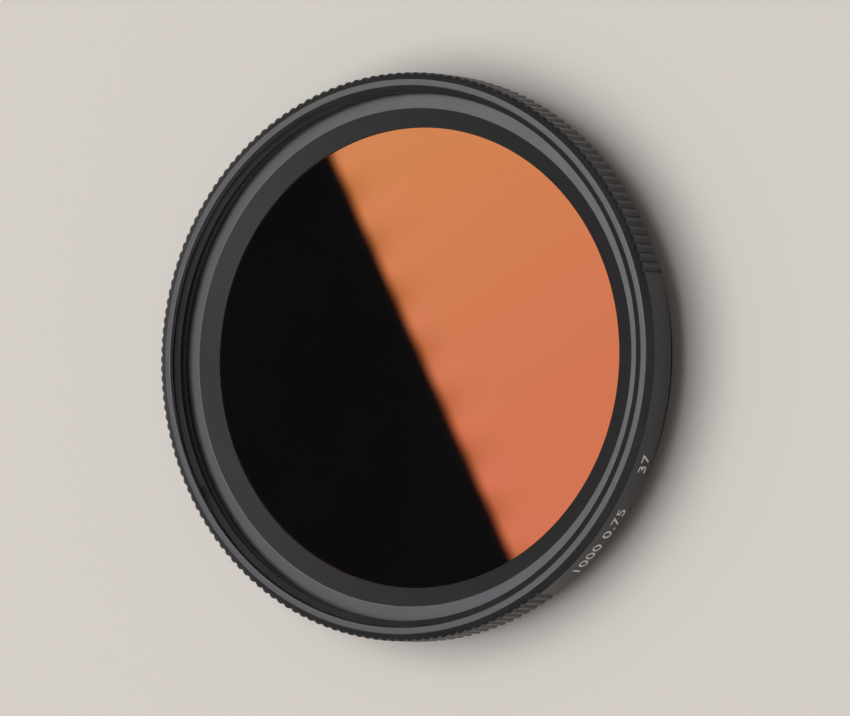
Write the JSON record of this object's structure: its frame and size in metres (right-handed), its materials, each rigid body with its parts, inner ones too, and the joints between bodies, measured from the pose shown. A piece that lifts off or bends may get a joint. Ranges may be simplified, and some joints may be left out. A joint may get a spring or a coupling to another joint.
{
  "type": "neutral density filter",
  "caption": "Slim round screw-in optical filter: turned black frame with knurled grip band, male rear and female front threads, and dark coated glass held by a retaining ring.",
  "frame": {"origin": "optical axis at the rear end of the male thread, the plane the filter rests on", "axes": "+Z along the optical axis, out of the front (female) thread; +X towards the smooth print land's side"},
  "size_m": [0.039, 0.039, 0.0051],
  "materials": {
    "black_anodised_frame": "satin black anodised, turned and knurled",
    "black_anodised_ring": "satin black anodised, turned",
    "coated_dark_glass": "polished dark neutral glass with a copper-tinted coating",
    "white_print": "matt white ink"
  },
  "bodies": {
    "root": {"mount_ring": "black_anodised_frame", "filter_glass": "coated_dark_glass", "retaining_ring": "black_anodised_ring"}
  },
  "joints": []
}
